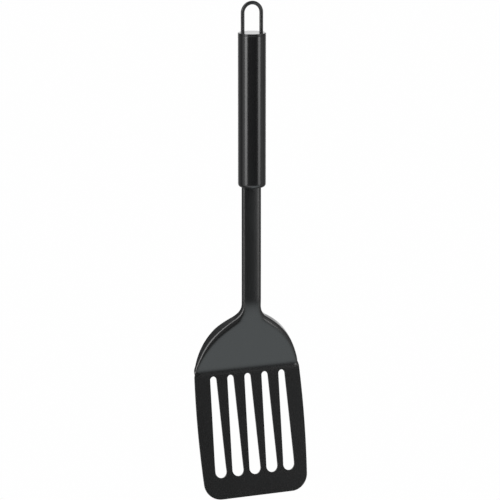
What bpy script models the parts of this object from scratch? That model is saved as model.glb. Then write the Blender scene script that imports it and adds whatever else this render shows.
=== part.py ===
"""Grill spatula: a slotted sheet-metal head in a round hollow handle with a wire hanging loop.

Metres, +Z up. The tool hangs upright by its loop. The origin is the point of the loop's inner
bend that rests on a hook, the handle's axis is the Z axis, and the food side faces -Y.
"""
import math

import bmesh
import bpy
from mathutils import Vector

MM = 0.001
GAP = 0.3 * MM                      # clearance between touching pieces

# Handle
HANDLE_R = 10.2 * MM
HANDLE_WALL = 0.8 * MM
HANDLE_TOP_Z = -20.15 * MM          # upper face of the top cap
HANDLE_BOTTOM_Z = -132.7 * MM
HANDLE_END_R = 2.7 * MM             # radius of the rolled-in lower end
LIP_R = 8.0 * MM                    # opening left inside the rolled-in end
CAP_THICK = 1.5 * MM
CAP_EDGE = 0.4 * MM
CAP_EDGE_STEPS = 2
HANDLE_END_STEPS = 6
ROUND_STEPS = 64

# Hanging loop
WIRE_R = 1.37 * MM
LEG_X = 7.2 * MM                    # leg centre to handle axis
LOOP_FOOT_R = 2.0 * MM              # bend radius of the legs' inner feet
LOOP_FOOT_LENGTH = 2.2 * MM
LOOP_LEG_BELOW_CAP = 3.2 * MM
LOOP_FOOT_STEPS = 4
LOOP_BEND_STEPS = 24
LOOP_SECTION_STEPS = 4
LEG_HOLE_STEPS = 24

# Head: side profile of its front face, from the tang's end down to the blade's edge
SHEET = 1.4 * MM
SHEET_EDGE = 0.25 * MM              # rounding of the sheet's edges
TANG_TOP_Z = -76.0 * MM
SHANK_Y = -2.2 * MM
NECK_Z = -223.2 * MM
BEND_Y = 9.4 * MM
BEND_Z = -271.5 * MM
BLADE_TILT = math.radians(12.6)     # blade leans towards the food side
BLADE_LENGTH = 94.75 * MM
NECK_R = 60.0 * MM
BEND_R = 18.0 * MM

# Head: half outline in the plane of the sheet
SHANK_HALF = 7.4 * MM
NECK_FILLET_R = 13.5 * MM
NECK_FILLET_START = 51.6 * MM       # distance above the bend line
SHOULDER_TOP_ANGLE = math.radians(58.0)
SHOULDER_END_ANGLE = math.radians(13.0)
SHOULDER_TOP_PULL = 20.0 * MM
SHOULDER_END_PULL = 19.0 * MM
BEND_HALF = 41.6 * MM
BLADE_MAX_HALF = 42.45 * MM
BLADE_MAX_BELOW = 36.0 * MM         # widest place below the bend line
BLADE_SIDE_R = 745.0 * MM
BLADE_CORNER_R = 12.0 * MM
NECK_FILLET_ROWS = 7
SHOULDER_ROWS = 22
SHOULDER_ROW_CROWDING = 1.25        # above 1 sets the rows closer towards the bend line
BEND_ROWS_BELOW = (1.3 * MM, 2.7 * MM, 4.2 * MM)
BLADE_SIDE_ROWS = 6
BLADE_CORNER_ROWS = 7

# Head: section across the sheet
SHANK_CROWN_R = 55.0 * MM
CROWN_FLAT_FROM = 38.0 * MM         # crown fades out between these heights above the bend line
CROWN_FULL_FROM = 54.0 * MM
FOLD_ANGLE = math.radians(82.0)     # how far the flange is turned back
FOLD_END = 2.5 * MM                 # flange dies out this far below the bend line
FOLD_LIFT = 5.0 * MM                # and turns fully back over this height
FOLD_FULL = 27.0 * MM               # fold widens to the shoulder's from the bend line up to here
SHANK_FOLD = 6.0 * MM               # length of sheet that is bent round into the flange
SHOULDER_FOLD = 8.8 * MM
BLADE_FOLD = 4.2 * MM
FOLD_SHARE = 0.92                   # most of the half width that the fold may take up
FOLD_LIMIT_POWER = 8.0
SHANK_POWER = 2.4                   # above 1 the fold tightens towards the flange
SHOULDER_POWER = 2.6
BLADE_POWER = 1.6
SHANK_WALL = 1.5 * MM               # straight part of the flange along the shank
SHOULDER_WALL = 5.0 * MM
BLADE_WALL = 0.9 * MM
WALL_FROM = 5.0 * MM                # straight part grows from here above the bend line
WALL_PEAK = 31.0 * MM
WALL_RISE_POWER = 0.7
WALL_TO = 52.0 * MM
SHANK_ROWS_ABOVE = (125.0 * MM, 64.0 * MM, 60.0 * MM, 57.0 * MM, 54.0 * MM)
FLOOR_COLUMNS = 6
FOLD_COLUMNS = 8
FOLD_SUBSTEPS = 3
FOLD_CROWDING = 1.3                 # above 1 sets the columns closer towards the flange
WALL_COLUMNS = 2
WIDTH_SEARCH_STEPS = 40

# Slots
SLOT_COUNT = 5
SLOT_PITCH = 13.6 * MM
SLOT_TOP_R = 2.65 * MM
SLOT_BOTTOM_R = 4.6 * MM
SLOT_TOP_BELOW = 6.35 * MM          # centre of the upper round end below the bend line
SLOT_BOTTOM_BELOW = 74.3 * MM
SLOT_END_STEPS = 12
SLOT_CUT_BEFORE = 4.0 * MM          # the cutter starts this far in front of the blade
SLOT_CUT_DEPTH = 10.0 * MM

# Pieces inside the handle
LOWER_CAP_THICK = 1.0 * MM
LOWER_CAP_SKIRT = 5.0 * MM
PLUG_BOTTOM_Z = -92.0 * MM
PLUG_TOP_Z = -72.0 * MM
PLUG_EDGE = 0.5 * MM
CUT_PAST = 3.0 * MM                 # a cutter runs this far past the piece it cuts

COATING = (0.012, 0.012, 0.013, 1.0)
COATED_WIRE = (0.014, 0.014, 0.015, 1.0)
NYLON = (0.16, 0.16, 0.15, 1.0)
SHARP_ANGLE = math.radians(30.0)
BEVEL_ANGLE = math.radians(50.0)    # edges sharper than this are rounded


def clear_scene():
    for item in list(bpy.data.objects):
        bpy.data.objects.remove(item, do_unlink=True)


def make_collection(name):
    collection = bpy.data.collections.new(name)
    bpy.context.scene.collection.children.link(collection)
    return collection


def make_material(name, colour, roughness, metallic):
    material = bpy.data.materials.new(name)
    material.use_nodes = True
    shader = material.node_tree.nodes["Principled BSDF"]
    shader.inputs["Base Color"].default_value = colour
    shader.inputs["Roughness"].default_value = roughness
    shader.inputs["Metallic"].default_value = metallic
    return material


def add_object(name, data, collection, material=None):
    item = bpy.data.objects.new(name, data)
    collection.objects.link(item)
    if material:
        item.data.materials.append(material)
    return item


def mesh_from_bmesh(name, bm):
    mesh = bpy.data.meshes.new(name)
    bm.to_mesh(mesh)
    bm.free()
    return mesh


def shade_round(mesh):
    mesh.shade_smooth()
    mesh.set_sharp_from_angle(angle=SHARP_ANGLE)


def smoothstep(value):
    t = min(max(value, 0.0), 1.0)
    return t * t * (3.0 - 2.0 * t)


def linear(value, low, high):
    return min(max((value - low) / (high - low), 0.0), 1.0)


def add_turned(name, profile, collection, material):
    """Turn a profile of (radius, height) points about the Z axis. It is closed if it starts off it."""
    bm = bmesh.new()
    ring = [bm.verts.new((radius, 0.0, height)) for radius, height in profile]
    closed = profile[0][0] > 0.0
    for first, second in zip(ring, ring[1:]):
        bm.edges.new((first, second))
    if closed:
        bm.edges.new((ring[-1], ring[0]))
    item = add_object(name, mesh_from_bmesh(name, bm), collection, material)
    screw = item.modifiers.new("turn", "SCREW")
    screw.steps = ROUND_STEPS
    screw.render_steps = ROUND_STEPS
    screw.use_merge_vertices = True
    screw.merge_threshold = 0.01 * MM
    screw.use_smooth_shade = True
    return item


def cut(item, cutter, name="cut"):
    modifier = item.modifiers.new(name, "BOOLEAN")
    modifier.operation = "DIFFERENCE"
    modifier.object = cutter
    cutter.hide_render = True
    cutter.display_type = "WIRE"


def add_bevel(item, width):
    bevel = item.modifiers.new("edge", "BEVEL")
    bevel.width = width
    bevel.segments = 2
    bevel.limit_method = "ANGLE"
    bevel.angle_limit = BEVEL_ANGLE


def add_sheet_thickness(item, thickness):
    sheet = item.modifiers.new("sheet", "SOLIDIFY")
    sheet.thickness = thickness
    sheet.offset = -1.0
    sheet.use_even_offset = True


# Head -----------------------------------------------------------------------------------------

def panel_tilt():
    return math.atan2(BEND_Y - SHANK_Y, NECK_Z - BEND_Z)


def panel_length():
    return math.hypot(BEND_Y - SHANK_Y, NECK_Z - BEND_Z)


def tang_height():
    """Height of the tang's end along the unrounded profile, above the bend line."""
    return panel_length() + TANG_TOP_Z - NECK_Z


def fillet_length(radius, turn):
    return radius * math.tan(turn / 2.0)


def profile_point(height):
    """Point, downward direction and front normal of the side profile.

    height is measured along the unrounded profile, positive above the bend line.
    """
    tilt = panel_tilt()
    panel_down = Vector((0.0, math.sin(tilt), -math.cos(tilt)))
    blade_down = Vector((0.0, -math.sin(BLADE_TILT), -math.cos(BLADE_TILT)))
    shank_down = Vector((0.0, 0.0, -1.0))
    bend = Vector((0.0, BEND_Y, BEND_Z))
    neck = Vector((0.0, SHANK_Y, NECK_Z))
    bend_cut = fillet_length(BEND_R, tilt + BLADE_TILT)
    neck_cut = fillet_length(NECK_R, tilt)

    def arc(corner, direction_in, direction_out, along, reach):
        share = (along + reach) / (2.0 * reach)
        start = corner - direction_in * reach
        end = corner + direction_out * reach
        turn = direction_in.angle(direction_out)
        radius = reach / math.tan(turn / 2.0)
        inward = (end + start) / 2.0 - corner
        centre = corner + inward.normalized() * math.hypot(radius, reach)
        spoke = start - centre
        angle_sign = 1.0 if direction_in.cross(direction_out).x > 0.0 else -1.0
        angle = angle_sign * turn * share
        cosine, sine = math.cos(angle), math.sin(angle)

        def turned(v):
            return Vector((0.0, v.y * cosine - v.z * sine, v.y * sine + v.z * cosine))

        return centre + turned(spoke), turned(direction_in)

    if height < -bend_cut:
        point, down = bend - blade_down * height, blade_down
    elif height <= bend_cut:
        point, down = arc(bend, panel_down, blade_down, -height, bend_cut)
    elif height < panel_length() - neck_cut:
        point, down = bend - panel_down * height, panel_down
    elif height <= panel_length() + neck_cut:
        point, down = arc(neck, shank_down, panel_down, panel_length() - height, neck_cut)
    else:
        point, down = neck - shank_down * (height - panel_length()), shank_down
    front = Vector((0.0, down.z, -down.y))
    return point, down, front


def shoulder_curve():
    """Half outline from the neck to the bend line, as (half width, height) points."""
    def on_fillet(angle):
        return (SHANK_HALF + NECK_FILLET_R - NECK_FILLET_R * math.cos(angle),
                NECK_FILLET_START - NECK_FILLET_R * math.sin(angle))

    points = [on_fillet(SHOULDER_TOP_ANGLE * i / NECK_FILLET_ROWS)
              for i in range(NECK_FILLET_ROWS)]
    start = Vector(on_fillet(SHOULDER_TOP_ANGLE))
    end = Vector((BEND_HALF, 0.0))
    top_way = Vector((math.sin(SHOULDER_TOP_ANGLE), -math.cos(SHOULDER_TOP_ANGLE)))
    end_way = Vector((math.sin(SHOULDER_END_ANGLE), -math.cos(SHOULDER_END_ANGLE)))
    first_handle = start + top_way * SHOULDER_TOP_PULL
    second_handle = end - end_way * SHOULDER_END_PULL
    for i in range(SHOULDER_ROWS + 1):
        t = 1.0 - (1.0 - i / SHOULDER_ROWS) ** SHOULDER_ROW_CROWDING
        s = 1.0 - t
        point = (start * s ** 3 + first_handle * 3 * s * s * t
                 + second_handle * 3 * s * t * t + end * t ** 3)
        points.append((point.x, point.y))
    return points


def blade_half(below):
    """Half width of the blade at a distance below the bend line."""
    side = BLADE_MAX_HALF - (below - BLADE_MAX_BELOW) ** 2 / (2.0 * BLADE_SIDE_R)
    into_corner = below - (BLADE_LENGTH - BLADE_CORNER_R)
    if into_corner > 0.0:
        side += math.sqrt(max(BLADE_CORNER_R ** 2 - into_corner ** 2, 0.0)) - BLADE_CORNER_R
    return side


def head_rows():
    """Rows of the head, as (height above the bend line, half width)."""
    rows = [(height, SHANK_HALF) for height in (tang_height(),) + SHANK_ROWS_ABOVE]
    rows += [(height, half) for half, height in shoulder_curve()]
    corner_start = BLADE_LENGTH - BLADE_CORNER_R
    side_start = BEND_ROWS_BELOW[-1]
    belows = list(BEND_ROWS_BELOW)
    for i in range(1, BLADE_SIDE_ROWS + 1):
        belows.append(side_start + (corner_start - side_start) * i / BLADE_SIDE_ROWS)
    for i in range(1, BLADE_CORNER_ROWS + 1):
        turn = math.pi / 2.0 * i / BLADE_CORNER_ROWS
        belows.append(corner_start + BLADE_CORNER_R * math.sin(turn))
    return rows + [(-below, blade_half(below)) for below in belows]


def flange_wall(height):
    """Length of the straight part of the flange."""
    if height < WALL_PEAK:
        rise = linear(height, WALL_FROM, WALL_PEAK) ** WALL_RISE_POWER
        return BLADE_WALL + (SHOULDER_WALL - BLADE_WALL) * rise
    fall = smoothstep((height - WALL_PEAK) / (WALL_TO - WALL_PEAK))
    return SHOULDER_WALL + (SHANK_WALL - SHOULDER_WALL) * fall


def section(half, height, stretch, grow):
    """Right half of the front face across the head, as (sideways, backward) points.

    A crowned or flat floor runs into a fold that tightens outwards, then a straight flange.
    grow widens the section evenly, for a cutter that clears the sheet.
    """
    crown = smoothstep(linear(height, CROWN_FLAT_FROM, CROWN_FULL_FROM))
    curvature = crown / SHANK_CROWN_R
    lifted = smoothstep((height + FOLD_END) / FOLD_LIFT)
    grown = smoothstep(height / FOLD_FULL)
    fold_angle = FOLD_ANGLE * lifted
    fold = BLADE_FOLD + (SHOULDER_FOLD - BLADE_FOLD) * grown
    fold += (SHANK_FOLD - fold) * crown
    power = BLADE_POWER + (SHOULDER_POWER - BLADE_POWER) * grown
    power += (SHANK_POWER - power) * crown
    wall = flange_wall(height) + grow
    target = half + grow
    fold_steps = FOLD_COLUMNS * FOLD_SUBSTEPS

    def trace(floor, sideways):
        x, depth = 0.0, 0.0
        points = [(x, depth)]
        for i in range(FLOOR_COLUMNS):
            angle = curvature * floor * (i + 0.5) / FLOOR_COLUMNS
            x += floor / FLOOR_COLUMNS * math.cos(angle)
            depth += floor / FLOOR_COLUMNS * math.sin(angle)
            points.append((x, depth))
        start = curvature * floor
        for i in range(fold_steps):
            near = 1.0 - i / fold_steps
            far = 1.0 - (i + 1) / fold_steps
            t = 1.0 - ((near + far) / 2.0) ** FOLD_CROWDING
            step = fold * (near ** FOLD_CROWDING - far ** FOLD_CROWDING)
            angle = start + (fold_angle - start) * t ** power
            x += step * math.cos(angle) * sideways
            depth += step * math.sin(angle)
            if (i + 1) % FOLD_SUBSTEPS == 0:
                points.append((x, depth))
        for _ in range(WALL_COLUMNS):
            x += wall / WALL_COLUMNS * math.cos(fold_angle) * sideways
            depth += wall / WALL_COLUMNS * math.sin(fold_angle)
            points.append((x, depth))
        return points

    reach = trace(0.0, stretch)[-1][0] / (FOLD_SHARE * target)
    sideways = stretch * (1.0 + reach ** FOLD_LIMIT_POWER) ** (-1.0 / FOLD_LIMIT_POWER)
    low, high = 0.0, target
    for _ in range(WIDTH_SEARCH_STEPS):
        middle = (low + high) / 2.0
        if trace(middle, sideways)[-1][0] < target:
            low = middle
        else:
            high = middle
    return trace(low, sideways)


def add_head_surface(name, rows, collection, material=None, grow=0.0):
    """Front face of the head as an open surface, through rows from the tang's end downwards."""
    bm = bmesh.new()
    grid = []
    for i, (height, half) in enumerate(rows):
        above = rows[max(i - 1, 0)]
        below = rows[min(i + 1, len(rows) - 1)]
        slope = (below[1] - above[1]) / (above[0] - below[0])
        stretch = math.hypot(1.0, slope) if height > 0.0 else 1.0
        point, down, front = profile_point(height)
        half_section = section(half, height, stretch, grow)
        base = point + front * grow
        line = []
        for x, depth in reversed(half_section[1:]):
            line.append(bm.verts.new(base - front * depth + Vector((-x, 0.0, 0.0))))
        for x, depth in half_section:
            line.append(bm.verts.new(base - front * depth + Vector((x, 0.0, 0.0))))
        grid.append(line)
    for upper, lower in zip(grid, grid[1:]):
        for i in range(len(upper) - 1):
            bm.faces.new((upper[i], lower[i], lower[i + 1], upper[i + 1]))
    bmesh.ops.recalc_face_normals(bm, faces=bm.faces)
    middle_face = min(bm.faces, key=lambda face: abs(face.calc_center_median().x))
    if middle_face.normal.y > 0.0:
        bmesh.ops.reverse_faces(bm, faces=bm.faces)
    return add_object(name, mesh_from_bmesh(name, bm), collection, material)


def add_slot_cutter(index, collection):
    """Tapered slot with round ends, as a thick slab square to the blade."""
    x = (index - (SLOT_COUNT - 1) / 2.0) * SLOT_PITCH
    length = SLOT_BOTTOM_BELOW - SLOT_TOP_BELOW
    lean = math.asin((SLOT_BOTTOM_R - SLOT_TOP_R) / length)
    outline = []
    for i in range(SLOT_END_STEPS + 1):
        angle = lean + (math.pi - 2.0 * lean) * i / SLOT_END_STEPS
        outline.append((x + SLOT_TOP_R * math.cos(angle),
                        -SLOT_TOP_BELOW + SLOT_TOP_R * math.sin(angle)))
    for i in range(SLOT_END_STEPS + 1):
        angle = math.pi - lean + (math.pi + 2.0 * lean) * i / SLOT_END_STEPS
        outline.append((x + SLOT_BOTTOM_R * math.cos(angle),
                        -SLOT_BOTTOM_BELOW + SLOT_BOTTOM_R * math.sin(angle)))
    bend = Vector((0.0, BEND_Y, BEND_Z))
    up = Vector((0.0, math.sin(BLADE_TILT), math.cos(BLADE_TILT)))
    front = Vector((0.0, -math.cos(BLADE_TILT), math.sin(BLADE_TILT)))
    bm = bmesh.new()
    ring = [bm.verts.new(bend + Vector((u, 0.0, 0.0)) + up * v + front * SLOT_CUT_BEFORE)
            for u, v in outline]
    face = bm.faces.new(ring)
    extruded = bmesh.ops.extrude_face_region(bm, geom=[face])
    moved = [item for item in extruded["geom"] if isinstance(item, bmesh.types.BMVert)]
    bmesh.ops.translate(bm, verts=moved, vec=-front * SLOT_CUT_DEPTH)
    bmesh.ops.recalc_face_normals(bm, faces=bm.faces)
    return add_object("slot_cutter_%d" % (index + 1), mesh_from_bmesh("slot_cutter", bm), collection)


def add_head(parts, cutters):
    material = make_material("head_coating", COATING, 0.42, 0.0)
    head = add_head_surface("slotted_head", head_rows(), parts, material)
    add_sheet_thickness(head, SHEET)
    add_bevel(head, SHEET_EDGE)
    for i in range(SLOT_COUNT):
        cut(head, add_slot_cutter(i, cutters), "slot_%d" % (i + 1))
    shade_round(head.data)
    return head


# Handle ---------------------------------------------------------------------------------------

def add_handle_tube(parts):
    """Tube whose lower end is rolled in to a soft round lip."""
    material = make_material("handle_coating", COATING, 0.34, 0.0)
    top = HANDLE_TOP_Z - CAP_THICK - GAP
    centre_r = HANDLE_R - HANDLE_END_R
    turn = math.acos((LIP_R - centre_r) / (HANDLE_END_R - HANDLE_WALL))
    centre_z = HANDLE_BOTTOM_Z + HANDLE_END_R * math.sin(turn)

    def rolled(radius, angle):
        return centre_r + radius * math.cos(angle), centre_z - radius * math.sin(angle)

    angles = [turn * i / HANDLE_END_STEPS for i in range(HANDLE_END_STEPS + 1)]
    outside = [rolled(HANDLE_END_R, angle) for angle in angles]
    inside = [rolled(HANDLE_END_R - HANDLE_WALL, angle) for angle in reversed(angles)]
    profile = [(HANDLE_R, top)] + outside + inside + [(HANDLE_R - HANDLE_WALL, top)]
    return add_turned("handle_tube", profile, parts, material)


def add_top_cap(parts, cutters):
    """Flat disc on the tube's end, with two holes for the loop's legs."""
    material = make_material("cap_coating", COATING, 0.34, 0.0)
    bottom = HANDLE_TOP_Z - CAP_THICK
    profile = [(0.0, HANDLE_TOP_Z), (HANDLE_R - CAP_EDGE, HANDLE_TOP_Z)]
    for i in range(1, CAP_EDGE_STEPS + 1):
        angle = math.pi / 2.0 * i / CAP_EDGE_STEPS
        profile.append((HANDLE_R - CAP_EDGE + CAP_EDGE * math.sin(angle),
                        HANDLE_TOP_Z - CAP_EDGE + CAP_EDGE * math.cos(angle)))
    profile += [(HANDLE_R, bottom), (0.0, bottom)]
    cap = add_turned("top_cap", profile, parts, material)
    for side in (-1.0, 1.0):
        bm = bmesh.new()
        bmesh.ops.create_cone(bm, cap_ends=True, segments=LEG_HOLE_STEPS, radius1=WIRE_R + GAP,
                              radius2=WIRE_R + GAP, depth=CAP_THICK + 2.0 * CUT_PAST)
        hole = add_object("leg_hole", mesh_from_bmesh("leg_hole", bm), cutters)
        hole.location = (side * LEG_X, 0.0, HANDLE_TOP_Z - CAP_THICK / 2.0)
        cut(cap, hole)
    return cap


def add_hanging_loop(parts):
    """Wire bent to a U, whose legs go through the top cap and turn inward under it."""
    apex_centre_z = WIRE_R - LEG_X
    foot_z = HANDLE_TOP_Z - CAP_THICK - LOOP_LEG_BELOW_CAP
    foot = [(LEG_X - LOOP_FOOT_R - LOOP_FOOT_LENGTH, foot_z)]
    for i in range(LOOP_FOOT_STEPS + 1):
        angle = math.pi / 2.0 * i / LOOP_FOOT_STEPS
        foot.append((LEG_X - LOOP_FOOT_R + LOOP_FOOT_R * math.sin(angle),
                     foot_z + LOOP_FOOT_R * (1.0 - math.cos(angle))))
    bend = []
    for i in range(LOOP_BEND_STEPS + 1):
        angle = math.pi * i / LOOP_BEND_STEPS
        bend.append((LEG_X * math.cos(angle), apex_centre_z + LEG_X * math.sin(angle)))
    points = foot + bend + [(-x, z) for x, z in reversed(foot)]
    curve = bpy.data.curves.new("hanging_loop", "CURVE")
    curve.dimensions = "3D"
    curve.bevel_depth = WIRE_R
    curve.bevel_resolution = LOOP_SECTION_STEPS
    curve.use_fill_caps = True
    curve.render_resolution_u = 0
    spline = curve.splines.new("POLY")
    spline.points.add(len(points) - 1)
    for target, (x, z) in zip(spline.points, points):
        target.co = (x, 0.0, z, 1.0)
    return add_object("hanging_loop", curve, parts,
                      make_material("loop_coating", COATED_WIRE, 0.38, 0.0))


def add_shank_cutter(name, low, high, cutters):
    """Block a little larger than the shank, for a hole that the shank passes through."""
    back = SHANK_Y + section(SHANK_HALF, 2.0 * CROWN_FULL_FROM, 1.0, 0.0)[-1][1]
    bm = bmesh.new()
    bmesh.ops.create_cube(bm, size=1.0)
    for vert in bm.verts:
        vert.co.x *= 2.0 * (SHANK_HALF + GAP)
        vert.co.y = back + GAP if vert.co.y > 0.0 else SHANK_Y - GAP
        vert.co.z = high if vert.co.z > 0.0 else low
    return add_object(name, mesh_from_bmesh(name, bm), cutters)


def add_lower_cap(parts, cutters):
    """Drawn cup in the rolled-in end of the tube, open round the shank."""
    bottom = HANDLE_BOTTOM_Z + HANDLE_END_R + GAP
    outer = HANDLE_R - HANDLE_WALL - GAP
    inner = outer - LOWER_CAP_THICK
    top = bottom + LOWER_CAP_THICK + LOWER_CAP_SKIRT
    profile = [(outer, top), (outer, bottom), (0.0, bottom),
               (0.0, bottom + LOWER_CAP_THICK), (inner, bottom + LOWER_CAP_THICK), (inner, top)]
    material = make_material("lower_cap_coating", COATING, 0.45, 0.0)
    cap = add_turned("lower_cap", profile, parts, material)
    cut(cap, add_shank_cutter("shank_hole", bottom - CUT_PAST, top + CUT_PAST, cutters))
    return cap


def add_tang_plug(parts, cutters):
    """Moulded plug that holds the tang's end central in the tube."""
    outer = HANDLE_R - HANDLE_WALL - GAP
    profile = [(0.0, PLUG_TOP_Z), (outer - PLUG_EDGE, PLUG_TOP_Z), (outer, PLUG_TOP_Z - PLUG_EDGE),
               (outer, PLUG_BOTTOM_Z + PLUG_EDGE), (outer - PLUG_EDGE, PLUG_BOTTOM_Z),
               (0.0, PLUG_BOTTOM_Z)]
    plug = add_turned("tang_plug", profile, parts, make_material("plug_nylon", NYLON, 0.5, 0.0))
    pocket_bottom = tang_height() + PLUG_BOTTOM_Z - CUT_PAST - TANG_TOP_Z
    rows = [(tang_height() + GAP, SHANK_HALF), (pocket_bottom, SHANK_HALF)]
    pocket = add_head_surface("tang_pocket", rows, cutters, grow=GAP)
    add_sheet_thickness(pocket, SHEET + 2.0 * GAP)
    cut(plug, pocket)
    return plug


def main():
    clear_scene()
    parts = make_collection("grill_spatula")
    cutters = make_collection("cutters")
    add_head(parts, cutters)
    add_handle_tube(parts)
    add_top_cap(parts, cutters)
    add_hanging_loop(parts)
    add_lower_cap(parts, cutters)
    add_tang_plug(parts, cutters)


main()
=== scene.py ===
"""Looks for the grill spatula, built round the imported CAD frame. Metres, +Z up."""
import math

import bmesh
import bpy
from mathutils import Matrix, Vector

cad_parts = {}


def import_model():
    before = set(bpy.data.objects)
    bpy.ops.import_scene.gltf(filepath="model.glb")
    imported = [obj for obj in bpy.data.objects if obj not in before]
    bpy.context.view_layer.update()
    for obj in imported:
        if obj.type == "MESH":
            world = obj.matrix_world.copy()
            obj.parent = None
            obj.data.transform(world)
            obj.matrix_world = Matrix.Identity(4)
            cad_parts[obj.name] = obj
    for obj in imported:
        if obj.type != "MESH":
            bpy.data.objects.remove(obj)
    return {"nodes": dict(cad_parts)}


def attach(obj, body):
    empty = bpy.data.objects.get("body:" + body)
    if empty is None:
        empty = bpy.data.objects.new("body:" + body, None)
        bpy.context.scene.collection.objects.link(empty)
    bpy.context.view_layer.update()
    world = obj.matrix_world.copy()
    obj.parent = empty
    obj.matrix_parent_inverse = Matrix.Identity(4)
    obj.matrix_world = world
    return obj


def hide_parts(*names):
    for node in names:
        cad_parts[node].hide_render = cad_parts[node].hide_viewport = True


MM = 0.001
MICRON = 0.000001
QUARTER_TURN = math.pi / 2.0
WHITE = (1.0, 1.0, 1.0, 1.0)
BLACK = (0.0, 0.0, 0.0, 1.0)

# Camera
CAMERA_AZIMUTH = math.radians(-22.0)
CAMERA_ELEVATION = math.radians(12.5)
CAMERA_DISTANCE = 1.9
CAMERA_AIM_Z = -0.179959
CAMERA_AIM_SIDE = -0.001393
CAMERA_LENS = 187.286
CAMERA_SENSOR = 36.0
CAMERA_NEAR = 0.05
CAMERA_FAR = 200.0

# Handle: a tube with a rolled-in lower end and a disc in its upper end
HANDLE_R = 10.2 * MM
HANDLE_WALL = 0.8 * MM
HANDLE_TOP_Z = -20.15 * MM
HANDLE_BOTTOM_Z = -132.7 * MM
HANDLE_END_R = 2.7 * MM
HANDLE_RING = 1.0 * MM
LIP_R = 8.0 * MM
CAP_THICK = 1.5 * MM
CAP_EDGE = 0.4 * MM
SEAM = 0.06 * MM
SEAM_EDGE = 0.12 * MM
TURN_STEPS = 144
END_STEPS = 14
RIM_STEPS = 6
SEAM_STEPS = 3
AXIS_R = 0.0001 * MM

# Beads of coating where the loop's legs enter the disc
BEAD_R = 0.5 * MM
BEAD_BELOW = 0.2 * MM
BEAD_OVERLAP = 0.05 * MM
BEAD_STEPS = 6

# Hanging loop
WIRE_R = 1.37 * MM
LEG_X = 7.2 * MM
LOOP_FOOT_R = 2.0 * MM
LOOP_FOOT_LENGTH = 2.2 * MM
LOOP_LEG_BELOW_CAP = 3.2 * MM
LOOP_BEND_STEPS = 72
LOOP_FOOT_STEPS = 12
WIRE_ROUNDNESS = 8

# Head: side profile
SHEET = 1.4 * MM
SHEET_EDGE = 0.3 * MM
SHEET_EDGE_STEPS = 3
SHEET_EDGE_ANGLE = math.radians(50.0)
TANG_TOP_Z = -76.0 * MM
SHANK_Y = -2.2 * MM
NECK_Z = -223.2 * MM
BEND_Y = 9.4 * MM
BEND_Z = -271.5 * MM
BLADE_TILT = math.radians(12.6)
BLADE_LENGTH = 94.75 * MM
NECK_R = 60.0 * MM
BEND_R = 18.0 * MM
PANEL_TILT = math.atan2(BEND_Y - SHANK_Y, NECK_Z - BEND_Z)
PANEL_LENGTH = math.hypot(BEND_Y - SHANK_Y, NECK_Z - BEND_Z)

# Head: half outline
SHANK_HALF = 7.4 * MM
NECK_FILLET_R = 13.5 * MM
NECK_FILLET_START = 51.6 * MM
SHOULDER_TOP_ANGLE = math.radians(58.0)
SHOULDER_END_ANGLE = math.radians(13.0)
SHOULDER_TOP_PULL = 20.0 * MM
SHOULDER_END_PULL = 19.0 * MM
BEND_HALF = 41.6 * MM
BLADE_MAX_HALF = 42.42 * MM
BLADE_MAX_BELOW = 36.0 * MM
BLADE_SIDE_R = 745.0 * MM
BLADE_CORNER_R = 12.0 * MM

# Head: crown of the shank, which flattens out into the panel between two heights
SHANK_CROWN_R = 55.0 * MM
CROWN_FLAT_FROM = 38.0 * MM
CROWN_FULL_FROM = 54.0 * MM
FLAT_CURVATURE = 1.0

# Head: fold of the edges. It is flat from FOLD_END below the bend line down, fully turned
# FOLD_LIFT higher, and at its shoulder width from FOLD_FULL above the bend line up
FOLD_ANGLE = math.radians(82.0)
FOLD_END = 2.5 * MM
FOLD_LIFT = 5.0 * MM
FOLD_FULL = 27.0 * MM
SHANK_FOLD = 6.0 * MM
SHOULDER_FOLD = 8.8 * MM
BLADE_FOLD = 4.2 * MM
FOLD_SHARE = 0.92
FOLD_LIMIT_POWER = 8.0

# Head: how late the fold turns. A higher power keeps more of its turn for the outer end
SHANK_POWER = 2.4
SHOULDER_POWER = 2.6
BLADE_POWER = 1.6

# Head: straight wall after the fold, highest at WALL_PEAK above the bend line
SHANK_WALL = 1.5 * MM
SHOULDER_WALL = 5.0 * MM
BLADE_WALL = 0.9 * MM
WALL_FROM = 5.0 * MM
WALL_PEAK = 31.0 * MM
WALL_TO = 52.0 * MM
WALL_RISE_POWER = 0.7

# Slots
SLOT_COUNT = 5
SLOT_PITCH = 13.6 * MM
SLOT_TOP_R = 2.65 * MM
SLOT_BOTTOM_R = 4.6 * MM
SLOT_TOP_BELOW = 6.35 * MM
SLOT_BOTTOM_BELOW = 74.3 * MM
SLOT_LEAN = math.asin((SLOT_BOTTOM_R - SLOT_TOP_R) / (SLOT_BOTTOM_BELOW - SLOT_TOP_BELOW))

# Head mesh. The listed rows are millimetres above the bend line on the shank and below it on
# the blade
SHANK_ROWS = [150.0, 120.0, 90.0, 74.0, 70.0, 67.0, 64.5, 62.0, 60.0, 58.0, 56.5, 55.0, 53.8,
              52.7]
NECK_FILLET_ROWS = 14
SHOULDER_ROWS = 66
BLADE_TOP_ROWS = [0.8, 1.6, 2.5, 3.2]
SLOT_TOP_ROWS = 8
SLOT_SIDE_ROWS = 12
SLOT_BOTTOM_ROWS = 10
CORNER_ROWS = 16
BAR_COLUMNS = 3
FOLD_COLUMNS = 12
FOLD_SUBSTEPS = 3
FOLD_CROWDING = 1.3
WALL_COLUMNS = 3
FLOOR_HALVINGS = 40
MERGE_DISTANCE = 0.002 * MM

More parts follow.
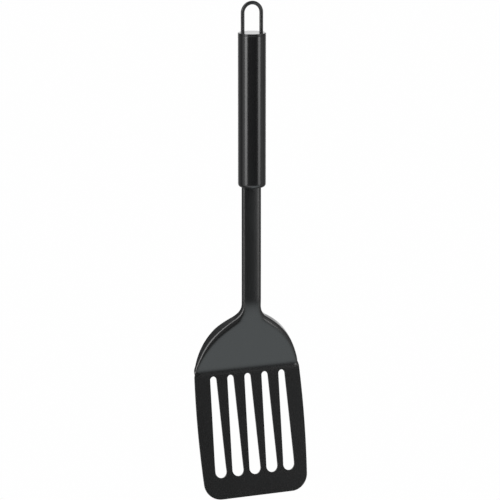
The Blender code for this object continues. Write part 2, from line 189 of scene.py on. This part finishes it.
# Finishes: colour, roughness and its spread, and heights of the orange peel and of the grain
HEAD_FINISH = ((0.0095, 0.0098, 0.010), 0.24, 0.02, 1.0 * MICRON, 0.4 * MICRON)
HANDLE_FINISH = ((0.010, 0.010, 0.0105), 0.20, 0.015, 0.6 * MICRON, 0.3 * MICRON)
WIRE_FINISH = ((0.013, 0.013, 0.0135), 0.26, 0.02, 0.4 * MICRON, 0.1 * MICRON)
NYLON_FINISH = ((0.15, 0.15, 0.14), 0.5, 0.05, 10.0 * MICRON, 3.0 * MICRON)

# Noises of a finish: scale per metre, detail and roughness
CLOUD = (55.0, 3.0, 0.5)
MOTTLE = (900.0, 2.0, 0.5)
PEEL = (700.0, 1.0, 0.5)
GRAIN = (4200.0, 2.0, 0.6)
CLOUD_SHARE = 0.65
MOTTLE_SHARE = 0.35
SHEEN_LOW = 0.3
SHEEN_HIGH = 0.7
DARK_TINT = 0.8
LIGHT_TINT = 1.25

# Soft lights of the studio: azimuth of the centre, half width and softness in degrees, lower and
# upper elevation with their softness, and brightness
LIGHTS = [
    # tall light on the left, with its foot and its top
    (-70.0, 9.0, 4.0, -5.0, 60.0, 11.0, 4.6),
    (-70.0, 9.0, 4.0, -7.0, -4.0, 9.0, 2.0),
    (-74.0, 16.0, 8.0, 20.0, 60.0, 15.0, 1.8),
    # low light on the left
    (-60.0, 18.0, 12.0, -70.0, -26.0, 10.0, 1.2),
    # faint fills towards the front, above and below the horizon
    (-16.0, 20.0, 10.0, 2.0, 30.0, 8.0, 0.30),
    (-42.0, 22.0, 8.0, -34.0, -19.0, 5.0, 0.38),
    # edge light on the far left
    (-86.0, 14.0, 12.0, -30.0, 60.0, 10.0, 0.9),
    # narrow light on the right, with its wide glow
    (39.6, 8.5, 4.5, -6.0, -4.0, 10.0, 4.9),
    (38.0, 18.0, 14.0, -4.0, -2.0, 8.0, 0.4),
    # lights above the narrow one
    (42.0, 16.0, 16.0, 8.0, 24.0, 8.0, 0.13),
    (47.0, 14.0, 14.0, 11.0, 24.0, 5.0, 1.1),
    # edge light on the far right
    (62.0, 16.0, 12.0, -20.0, 30.0, 10.0, 0.5),
    # light behind, with its wide fill
    (158.0, 20.0, 20.0, -10.0, 60.0, 10.0, 1.2),
    (158.0, 80.0, 30.0, -60.0, 60.0, 20.0, 0.28),
]
# The same for the pale table under the tool
TABLE_LIGHT = (12.0, 42.0, 27.0, -90.0, -26.5, 10.5, 1.62)
TABLE_COLOUR = (0.95, 1.03, 1.05, 1.0)
STUDIO_DARK = 0.055
STUDIO_TOP = 0.6
STUDIO_TOP_FROM = 40.0
STRAIGHT_DOWN = -90.0
NEARLY_DOWN = -89.0
LEAST_ACROSS = 0.0001

# Floor
FLOOR_Z = -0.40
FLOOR_SIZE = 60.0
FLOOR_GLOW = 0.995


def smoothstep(value):
    t = min(max(value, 0.0), 1.0)
    return t * t * (3.0 - 2.0 * t)


def linear(value, low, high):
    return min(max((value - low) / (high - low), 0.0), 1.0)


def mix(first, second, share):
    return first + (second - first) * share


def sine(degrees):
    return math.sin(math.radians(degrees))


def cosine(degrees):
    return math.cos(math.radians(degrees))


def add_piece(name, data, material, slot, *nodes):
    """Put a new piece in the scene in place of CAD nodes."""
    piece = bpy.data.objects.new(name, data)
    bpy.context.scene.collection.objects.link(piece)
    piece.data.materials.append(material)
    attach(piece, "root")
    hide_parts(*nodes)
    return piece


def mesh_from_bmesh(name, bm):
    mesh = bpy.data.meshes.new(name)
    bm.to_mesh(mesh)
    bm.free()
    mesh.shade_smooth()
    return mesh


# Materials ------------------------------------------------------------------------------------

class Nodes:
    """Short ways to make and join shader nodes in one tree."""

    def __init__(self, tree):
        self.tree = tree

    def add(self, kind, inputs=None, **settings):
        node = self.tree.nodes.new(kind)
        for key, value in settings.items():
            setattr(node, key, value)
        for key, value in (inputs or {}).items():
            if isinstance(value, bpy.types.NodeSocket):
                self.tree.links.new(value, node.inputs[key])
            else:
                node.inputs[key].default_value = value
        return node

    def math(self, operation, first, second=0.0):
        return self.add("ShaderNodeMath", {0: first, 1: second}, operation=operation).outputs[0]

    def weighted(self, first, first_weight, second, second_weight):
        return self.math("ADD", self.math("MULTIPLY", first, first_weight),
                         self.math("MULTIPLY", second, second_weight))

    def ramp(self, value, low, high, out_low=0.0, out_high=1.0, kind="SMOOTHSTEP"):
        node = self.add("ShaderNodeMapRange", {"Value": value, "From Min": low, "From Max": high,
                                               "To Min": out_low, "To Max": out_high},
                        interpolation_type=kind)
        return node.outputs["Result"]

    def noise(self, vector, scale, detail, roughness):
        node = self.add("ShaderNodeTexNoise", {"Vector": vector, "Scale": scale,
                                               "Detail": detail, "Roughness": roughness})
        return node.outputs["Fac"]


def coating(name, colour, roughness, spread, peel, grain):
    """Surface with fine orange peel, finer grain and a slightly uneven sheen."""
    material = bpy.data.materials.new(name)
    material.use_nodes = True
    tree = material.node_tree
    nodes = Nodes(tree)
    shader = tree.nodes["Principled BSDF"]
    place = nodes.add("ShaderNodeTexCoord").outputs["Object"]
    cloud = nodes.noise(place, *CLOUD)
    mottle = nodes.noise(place, *MOTTLE)
    sheen = nodes.weighted(cloud, CLOUD_SHARE, mottle, MOTTLE_SHARE)
    tree.links.new(nodes.ramp(sheen, SHEEN_LOW, SHEEN_HIGH, roughness - spread,
                              roughness + spread, "LINEAR"), shader.inputs["Roughness"])
    dark = [channel * DARK_TINT for channel in colour] + [1.0]
    light = [channel * LIGHT_TINT for channel in colour] + [1.0]
    tint = nodes.add("ShaderNodeMix", {"Factor": mottle, "A": dark, "B": light}, data_type="RGBA")
    tree.links.new(tint.outputs["Result"], shader.inputs["Base Color"])
    height = nodes.weighted(nodes.noise(place, *PEEL), peel, nodes.noise(place, *GRAIN), grain)
    bump = nodes.add("ShaderNodeBump", {"Height": height, "Strength": 1.0, "Distance": 1.0})
    tree.links.new(bump.outputs["Normal"], shader.inputs["Normal"])
    return material


# Head -----------------------------------------------------------------------------------------

def rounded_corner(corner, way_in, way_out, along, reach):
    """Point and direction on the arc that rounds a corner, at a signed distance past it."""
    turn = way_in.angle(way_out)
    radius = reach / math.tan(turn / 2.0)
    start = corner - way_in * reach
    inward = (way_out - way_in).normalized()
    centre = corner + inward * math.hypot(radius, reach)
    sign = 1.0 if way_in.cross(way_out).x > 0.0 else -1.0
    turned = Matrix.Rotation(sign * turn * (along + reach) / (2.0 * reach), 3, "X")
    return centre + turned @ (start - centre), turned @ way_in


def profile_point(height):
    """Point and front normal of the side profile, at a height above the bend line along it."""
    shank_down = Vector((0.0, 0.0, -1.0))
    panel_down = Vector((0.0, math.sin(PANEL_TILT), -math.cos(PANEL_TILT)))
    blade_down = Vector((0.0, -math.sin(BLADE_TILT), -math.cos(BLADE_TILT)))
    neck = Vector((0.0, SHANK_Y, NECK_Z))
    bend = Vector((0.0, BEND_Y, BEND_Z))
    neck_reach = NECK_R * math.tan(PANEL_TILT / 2.0)
    bend_reach = BEND_R * math.tan((PANEL_TILT + BLADE_TILT) / 2.0)
    from_neck = height - PANEL_LENGTH
    if height < -bend_reach:
        point, down = bend - blade_down * height, blade_down
    elif height <= bend_reach:
        point, down = rounded_corner(bend, panel_down, blade_down, -height, bend_reach)
    elif from_neck < -neck_reach:
        point, down = bend - panel_down * height, panel_down
    elif from_neck <= neck_reach:
        point, down = rounded_corner(neck, shank_down, panel_down, -from_neck, neck_reach)
    else:
        point, down = neck - shank_down * from_neck, shank_down
    return point, Vector((0.0, down.z, -down.y))


def neck_fillet(angle):
    """Half width and height on the fillet between the shank and the shoulder."""
    return (SHANK_HALF + NECK_FILLET_R - NECK_FILLET_R * math.cos(angle),
            NECK_FILLET_START - NECK_FILLET_R * math.sin(angle))


def shoulder_rows():
    """Half outline from the neck to the bend line, as (height, half width) rows."""
    points = [neck_fillet(SHOULDER_TOP_ANGLE * i / NECK_FILLET_ROWS)
              for i in range(NECK_FILLET_ROWS)]
    start = Vector(neck_fillet(SHOULDER_TOP_ANGLE))
    end = Vector((BEND_HALF, 0.0))
    top_way = Vector((math.sin(SHOULDER_TOP_ANGLE), -math.cos(SHOULDER_TOP_ANGLE)))
    end_way = Vector((math.sin(SHOULDER_END_ANGLE), -math.cos(SHOULDER_END_ANGLE)))
    top_pull = start + top_way * SHOULDER_TOP_PULL
    end_pull = end - end_way * SHOULDER_END_PULL
    for i in range(SHOULDER_ROWS + 1):
        t = i / SHOULDER_ROWS
        s = 1.0 - t
        points.append(start * s ** 3 + top_pull * 3 * s * s * t
                      + end_pull * 3 * s * t * t + end * t ** 3)
    return [(height, half) for half, height in points]


def blade_half(below):
    side = BLADE_MAX_HALF - (below - BLADE_MAX_BELOW) ** 2 / (2.0 * BLADE_SIDE_R)
    into_corner = below - (BLADE_LENGTH - BLADE_CORNER_R)
    if into_corner > 0.0:
        side += math.sqrt(max(BLADE_CORNER_R ** 2 - into_corner ** 2, 0.0)) - BLADE_CORNER_R
    return side


def blade_rows():
    """Rows of the blade as (distance below the bend line, half width of a slot)."""
    rows = [(below * MM, 0.0) for below in BLADE_TOP_ROWS]
    for i in range(SLOT_TOP_ROWS + 1):
        angle = (QUARTER_TURN - SLOT_LEAN) * i / SLOT_TOP_ROWS
        rows.append((SLOT_TOP_BELOW - SLOT_TOP_R * math.cos(angle), SLOT_TOP_R * math.sin(angle)))
    round_end = []
    for i in range(SLOT_BOTTOM_ROWS + 1):
        angle = (QUARTER_TURN + SLOT_LEAN) * (1.0 - i / SLOT_BOTTOM_ROWS)
        round_end.append((SLOT_BOTTOM_BELOW + SLOT_BOTTOM_R * math.cos(angle),
                          SLOT_BOTTOM_R * math.sin(angle)))
    side_start, side_end = rows[-1], round_end[0]
    for i in range(1, SLOT_SIDE_ROWS):
        share = i / SLOT_SIDE_ROWS
        rows.append((mix(side_start[0], side_end[0], share),
                     mix(side_start[1], side_end[1], share)))
    rows += round_end
    for i in range(CORNER_ROWS + 1):
        angle = QUARTER_TURN * i / CORNER_ROWS
        rows.append((BLADE_LENGTH - BLADE_CORNER_R + BLADE_CORNER_R * math.sin(angle), 0.0))
    return rows


def head_rows():
    """Rows of the head from the tang down, as (height, half width, half width of a slot)."""
    tang_top = PANEL_LENGTH + TANG_TOP_Z - NECK_Z
    heights = [tang_top] + [height * MM for height in SHANK_ROWS]
    rows = [(height, SHANK_HALF, 0.0) for height in heights]
    rows += [(height, half, 0.0) for height, half in shoulder_rows()]
    return rows + [(-below, blade_half(below), slot) for below, slot in blade_rows()]


def flange_wall(height):
    """Length of the straight part of the flange."""
    if height < WALL_PEAK:
        rise = linear(height, WALL_FROM, WALL_PEAK) ** WALL_RISE_POWER
        return mix(BLADE_WALL, SHOULDER_WALL, rise)
    return mix(SHOULDER_WALL, SHANK_WALL, smoothstep(linear(height, WALL_PEAK, WALL_TO)))


def fold_left(column):
    """Share of the fold's width beyond a column. The columns crowd towards the flange."""
    return (1.0 - column / FOLD_COLUMNS) ** FOLD_CROWDING


def floor_point(arc, curvature):
    """Side and depth of a point on the crowned floor, at a distance along it."""
    if curvature < FLAT_CURVATURE:
        return arc, 0.0
    return math.sin(curvature * arc) / curvature, (1.0 - math.cos(curvature * arc)) / curvature


def section(half, height, slope):
    """Right half across the head: its floor's length and curvature, and the (side, depth)
    points of its fold and flange."""
    crown = smoothstep(linear(height, CROWN_FLAT_FROM, CROWN_FULL_FROM))
    grown = smoothstep(height / FOLD_FULL)
    curvature = crown / SHANK_CROWN_R
    fold_angle = FOLD_ANGLE * smoothstep((height + FOLD_END) / FOLD_LIFT)
    fold = mix(mix(BLADE_FOLD, SHOULDER_FOLD, grown), SHANK_FOLD, crown)
    power = mix(mix(BLADE_POWER, SHOULDER_POWER, grown), SHANK_POWER, crown)
    wall = flange_wall(height)
    stretch = math.hypot(1.0, slope) if height > 0.0 else 1.0

    def outer(floor):
        """Points of the fold and the flange after a floor of this length."""
        x, depth = floor_point(floor, curvature)
        start = curvature * floor
        points = []
        for i in range(FOLD_COLUMNS):
            for j in range(FOLD_SUBSTEPS):
                t = 1.0 - fold_left(i + (j + 0.5) / FOLD_SUBSTEPS)
                step = fold * (fold_left(i + j / FOLD_SUBSTEPS)
                               - fold_left(i + (j + 1) / FOLD_SUBSTEPS))
                angle = start + (fold_angle - start) * t ** power
                x += step * math.cos(angle) * stretch
                depth += step * math.sin(angle)
            points.append((x, depth))
        for i in range(WALL_COLUMNS):
            x += wall / WALL_COLUMNS * math.cos(fold_angle) * stretch
            depth += wall / WALL_COLUMNS * math.sin(fold_angle)
            points.append((x, depth))
        return points

    reach = outer(0.0)[-1][0] / (FOLD_SHARE * half)
    stretch *= (1.0 + reach ** FOLD_LIMIT_POWER) ** (-1.0 / FOLD_LIMIT_POWER)
    low, high = 0.0, half
    for _ in range(FLOOR_HALVINGS):
        floor = (low + high) / 2.0
        if outer(floor)[-1][0] < half:
            low = floor
        else:
            high = floor
    return floor, curvature, outer(floor)


def points_across(half, height, slot, slope):
    """Points across one row of the head, and the numbers of the spans that a slot leaves open."""
    floor, curvature, outer = section(half, height, slope)
    shrink = min(1.0, floor / (BEND_HALF - BLADE_FOLD - BLADE_WALL))
    knots = [-floor]
    for i in range(SLOT_COUNT):
        centre = (i - (SLOT_COUNT - 1) / 2.0) * SLOT_PITCH * shrink
        knots += [centre - slot, centre + slot]
    knots.append(floor)
    across = [(-x, depth) for x, depth in reversed(outer)]
    bar_ends = []
    for start, end in zip(knots[::2], knots[1::2]):
        for j in range(BAR_COLUMNS + 1):
            arc = start + (end - start) * j / BAR_COLUMNS
            x, depth = floor_point(abs(arc), curvature)
            across.append((math.copysign(x, arc), depth))
        bar_ends.append(len(across) - 1)
    return across + outer, bar_ends[:-1]


def head_mesh():
    rows = head_rows()
    bm = bmesh.new()
    grid = []
    for r, (height, half, slot) in enumerate(rows):
        above, below = rows[max(r - 1, 0)], rows[min(r + 1, len(rows) - 1)]
        slope = (below[1] - above[1]) / (above[0] - below[0])
        across, open_spans = points_across(half, height, slot, slope)
        point, front = profile_point(height)
        grid.append([bm.verts.new(point - front * depth + Vector((x, 0.0, 0.0)))
                     for x, depth in across])
    for upper, lower in zip(grid, grid[1:]):
        for i in range(len(upper) - 1):
            if i not in open_spans:
                bm.faces.new((upper[i], lower[i], lower[i + 1], upper[i + 1]))
    bmesh.ops.remove_doubles(bm, verts=bm.verts, dist=MERGE_DISTANCE)
    bmesh.ops.recalc_face_normals(bm, faces=bm.faces)
    middle = min(bm.faces, key=lambda face: abs(face.calc_center_median().x))
    if middle.normal.y > 0.0:
        bmesh.ops.reverse_faces(bm, faces=bm.faces)
    return mesh_from_bmesh("spatula_head", bm)


def add_head(material):
    """Front face of the pressed sheet, thickened backwards, with softened edges."""
    head = add_piece("spatula_head", head_mesh(), material, "head_coating", "slotted_head")
    sheet = head.modifiers.new("sheet", "SOLIDIFY")
    sheet.thickness = SHEET
    sheet.offset = -1.0
    sheet.use_even_offset = True
    edge = head.modifiers.new("edge", "BEVEL")
    edge.width = SHEET_EDGE
    edge.segments = SHEET_EDGE_STEPS
    edge.limit_method = "ANGLE"
    edge.angle_limit = SHEET_EDGE_ANGLE
    edge.harden_normals = True


# Handle and loop ------------------------------------------------------------------------------

def add_turned(bm, profile, axis_x=0.0, closed=True):
    """Turn a (radius, height) profile about an upright axis, into a mesh that may hold others."""
    rings = []
    for radius, height in profile:
        if radius < AXIS_R:
            rings.append([bm.verts.new((axis_x, 0.0, height))] * TURN_STEPS)
            continue
        angles = [2.0 * math.pi * i / TURN_STEPS for i in range(TURN_STEPS)]
        rings.append([bm.verts.new((axis_x + radius * math.cos(angle),
                                    radius * math.sin(angle), height)) for angle in angles])
    pairs = list(zip(rings, rings[1:]))
    if closed:
        pairs.append((rings[-1], rings[0]))
    for first, second in pairs:
        for i in range(TURN_STEPS):
            j = (i + 1) % TURN_STEPS
            corners = list(dict.fromkeys((first[i], second[i], second[j], first[j])))
            if len(corners) > 2:
                bm.faces.new(corners)
    bmesh.ops.recalc_face_normals(bm, faces=bm.faces)


def corner_arc(centre, radius, start, end, steps):
    """Points of a rounded corner from one angle to another, in degrees."""
    angles = [math.radians(start + (end - start) * i / steps) for i in range(steps + 1)]
    return [(centre[0] + radius * math.cos(angle), centre[1] + radius * math.sin(angle))
            for angle in angles]


def add_handle(material):
    """Tube whose lower end is rolled in to a rounded lip."""
    top = HANDLE_TOP_Z - CAP_THICK - SEAM
    centre_r = HANDLE_R - HANDLE_END_R
    turn = math.acos((LIP_R - centre_r) / (HANDLE_END_R - HANDLE_WALL))
    roll = (centre_r, HANDLE_BOTTOM_Z + HANDLE_END_R * math.sin(turn))
    end = -math.degrees(turn)
    profile = [(HANDLE_R - HANDLE_WALL, top)]
    profile += corner_arc((HANDLE_R - SEAM_EDGE, top - SEAM_EDGE), SEAM_EDGE, 90.0, 0.0,
                          SEAM_STEPS)
    profile += [(HANDLE_R, top - HANDLE_RING), (HANDLE_R, roll[1] + HANDLE_RING)]
    profile += corner_arc(roll, HANDLE_END_R, 0.0, end, END_STEPS)
    profile += corner_arc(roll, HANDLE_END_R - HANDLE_WALL, end, 0.0, END_STEPS)
    bm = bmesh.new()
    add_turned(bm, profile)
    add_piece("handle_shell", mesh_from_bmesh("handle_shell", bm), material, "handle_coating",
              "handle_tube")


def add_cap(material):
    """End disc with its rounded rim, and the beads of coating where the loop's legs enter."""
    bottom = HANDLE_TOP_Z - CAP_THICK
    disc = [(0.0, HANDLE_TOP_Z), (HANDLE_R - 2.0 * CAP_EDGE, HANDLE_TOP_Z)]
    disc += corner_arc((HANDLE_R - CAP_EDGE, HANDLE_TOP_Z - CAP_EDGE), CAP_EDGE, 90.0, 0.0,
                       RIM_STEPS)
    disc += corner_arc((HANDLE_R - SEAM_EDGE, bottom + SEAM_EDGE), SEAM_EDGE, 0.0, -90.0,
                       SEAM_STEPS)
    disc.append((0.0, bottom))
    bead_r, bead_z = WIRE_R + BEAD_R, HANDLE_TOP_Z + BEAD_R
    bead = corner_arc((bead_r, bead_z), BEAD_R, 180.0, 270.0, BEAD_STEPS)
    bead += [(bead_r, HANDLE_TOP_Z - BEAD_BELOW),
             (WIRE_R - BEAD_OVERLAP, HANDLE_TOP_Z - BEAD_BELOW),
             (WIRE_R - BEAD_OVERLAP, bead_z)]
    bm = bmesh.new()
    add_turned(bm, disc, closed=False)
    add_turned(bm, bead, -LEG_X)
    add_turned(bm, bead, LEG_X)
    add_piece("handle_cap", mesh_from_bmesh("handle_cap", bm), material, "cap_coating", "top_cap")


def add_loop(material):
    """Wire bent to a U, with feet turned inwards under the disc."""
    bend_z = WIRE_R - LEG_X
    foot_z = HANDLE_TOP_Z - CAP_THICK - LOOP_LEG_BELOW_CAP
    foot = [(LEG_X - LOOP_FOOT_R - LOOP_FOOT_LENGTH, foot_z)]
    for i in range(LOOP_FOOT_STEPS + 1):
        angle = QUARTER_TURN * i / LOOP_FOOT_STEPS
        foot.append((LEG_X - LOOP_FOOT_R + LOOP_FOOT_R * math.sin(angle),
                     foot_z + LOOP_FOOT_R * (1.0 - math.cos(angle))))
    angles = [math.pi * i / LOOP_BEND_STEPS for i in range(LOOP_BEND_STEPS + 1)]
    bend = [(LEG_X * math.cos(angle), bend_z + LEG_X * math.sin(angle)) for angle in angles]
    points = foot + bend + [(-x, z) for x, z in reversed(foot)]
    curve = bpy.data.curves.new("wire_loop", "CURVE")
    curve.dimensions = "3D"
    curve.bevel_depth = WIRE_R
    curve.bevel_resolution = WIRE_ROUNDNESS
    curve.use_fill_caps = True
    spline = curve.splines.new("POLY")
    spline.points.add(len(points) - 1)
    for target, (x, z) in zip(spline.points, points):
        target.co = (x, 0.0, z, 1.0)
    add_piece("wire_loop", curve, material, "loop_coating", "hanging_loop")


# Studio ---------------------------------------------------------------------------------------

def add_camera():
    azimuth, elevation = CAMERA_AZIMUTH, CAMERA_ELEVATION
    back = Vector((math.sin(azimuth) * math.cos(elevation),
                   -math.cos(azimuth) * math.cos(elevation), math.sin(elevation)))
    right = Vector((math.cos(azimuth), math.sin(azimuth), 0.0))
    up = back.cross(right)
    data = bpy.data.cameras.new("camera")
    data.sensor_width = CAMERA_SENSOR
    data.lens = CAMERA_LENS
    data.clip_start = CAMERA_NEAR
    data.clip_end = CAMERA_FAR
    camera = bpy.data.objects.new("camera", data)
    bpy.context.scene.collection.objects.link(camera)
    place = Vector((0.0, 0.0, CAMERA_AIM_Z)) + right * CAMERA_AIM_SIDE + back * CAMERA_DISTANCE
    camera.matrix_world = Matrix((
        (right.x, up.x, back.x, place.x),
        (right.y, up.y, back.y, place.y),
        (right.z, up.z, back.z, place.z),
        (0.0, 0.0, 0.0, 1.0)))
    bpy.context.scene.camera = camera


def light_window(nodes, parts, across, light):
    """Brightness of one soft light over all directions."""
    azimuth, half, soft, low, high, fade, power = light
    facing = nodes.weighted(parts[0], sine(azimuth), parts[1], -cosine(azimuth))
    wide = nodes.ramp(nodes.math("DIVIDE", facing, across), cosine(half + soft),
                      cosine(max(half - soft, 0.0)))
    bottom = nodes.ramp(parts[2], sine(max(low - fade, STRAIGHT_DOWN)),
                        sine(max(low, NEARLY_DOWN)))
    top = nodes.ramp(parts[2], sine(high), sine(high + fade), 1.0, 0.0)
    window = nodes.math("MULTIPLY", nodes.math("MULTIPLY", wide, bottom), top)
    return nodes.math("MULTIPLY", window, power)


def background(nodes, colour, strength):
    return nodes.add("ShaderNodeBackground", {"Color": colour, "Strength": strength}).outputs[0]


def add_world():
    """Soft lights all round the tool, and a plain white backdrop where it is looked past."""
    world = bpy.data.worlds.new("studio")
    bpy.context.scene.world = world
    world.use_nodes = True
    tree = world.node_tree
    nodes = Nodes(tree)
    way = nodes.add("ShaderNodeTexCoord").outputs["Generated"]
    parts = nodes.add("ShaderNodeSeparateXYZ", {0: way}).outputs
    across_squared = nodes.math("SUBTRACT", 1.0, nodes.math("MULTIPLY", parts[2], parts[2]))
    across = nodes.math("SQRT", nodes.math("MAXIMUM", across_squared, LEAST_ACROSS))
    total = nodes.ramp(parts[2], sine(STUDIO_TOP_FROM), 1.0, STUDIO_DARK, STUDIO_TOP)
    for light in LIGHTS:
        total = nodes.math("ADD", total, light_window(nodes, parts, across, light))
    table = light_window(nodes, parts, across, TABLE_LIGHT)
    studio = nodes.add("ShaderNodeAddShader", {0: background(nodes, WHITE, total),
                                               1: background(nodes, TABLE_COLOUR, table)})
    backdrop = background(nodes, WHITE, 1.0)
    seen = nodes.add("ShaderNodeLightPath").outputs["Is Camera Ray"]
    both = nodes.add("ShaderNodeMixShader", {0: seen, 1: studio.outputs[0], 2: backdrop})
    tree.links.new(both.outputs[0], tree.nodes["World Output"].inputs["Surface"])


def add_floor():
    """Plain white floor, which neither lights the tool nor shows in its reflections."""
    bm = bmesh.new()
    bmesh.ops.create_grid(bm, x_segments=1, y_segments=1, size=FLOOR_SIZE / 2.0)
    floor = bpy.data.objects.new("floor", mesh_from_bmesh("floor", bm))
    bpy.context.scene.collection.objects.link(floor)
    floor.location.z = FLOOR_Z
    material = bpy.data.materials.new("white_floor")
    material.use_nodes = True
    shader = material.node_tree.nodes["Principled BSDF"]
    shader.inputs["Base Color"].default_value = BLACK
    shader.inputs["Specular IOR Level"].default_value = 0.0
    shader.inputs["Emission Color"].default_value = WHITE
    shader.inputs["Emission Strength"].default_value = FLOOR_GLOW
    floor.data.materials.append(material)
    floor.visible_diffuse = False
    floor.visible_glossy = False


def main():
    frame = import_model()
    bpy.context.scene.view_settings.view_transform = "Standard"
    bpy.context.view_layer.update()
    add_camera()
    add_world()
    add_floor()
    head = coating("head_finish", *HEAD_FINISH)
    handle = coating("handle_finish", *HANDLE_FINISH)
    wire = coating("wire_finish", *WIRE_FINISH)
    nylon = coating("nylon_finish", *NYLON_FINISH)
    add_head(head)
    add_handle(handle)
    add_cap(handle)
    add_loop(wire)
    for name, material in (("lower_cap", head), ("tang_plug", nylon)):
        for slot in frame["nodes"][name].material_slots:
            slot.material = material


main()
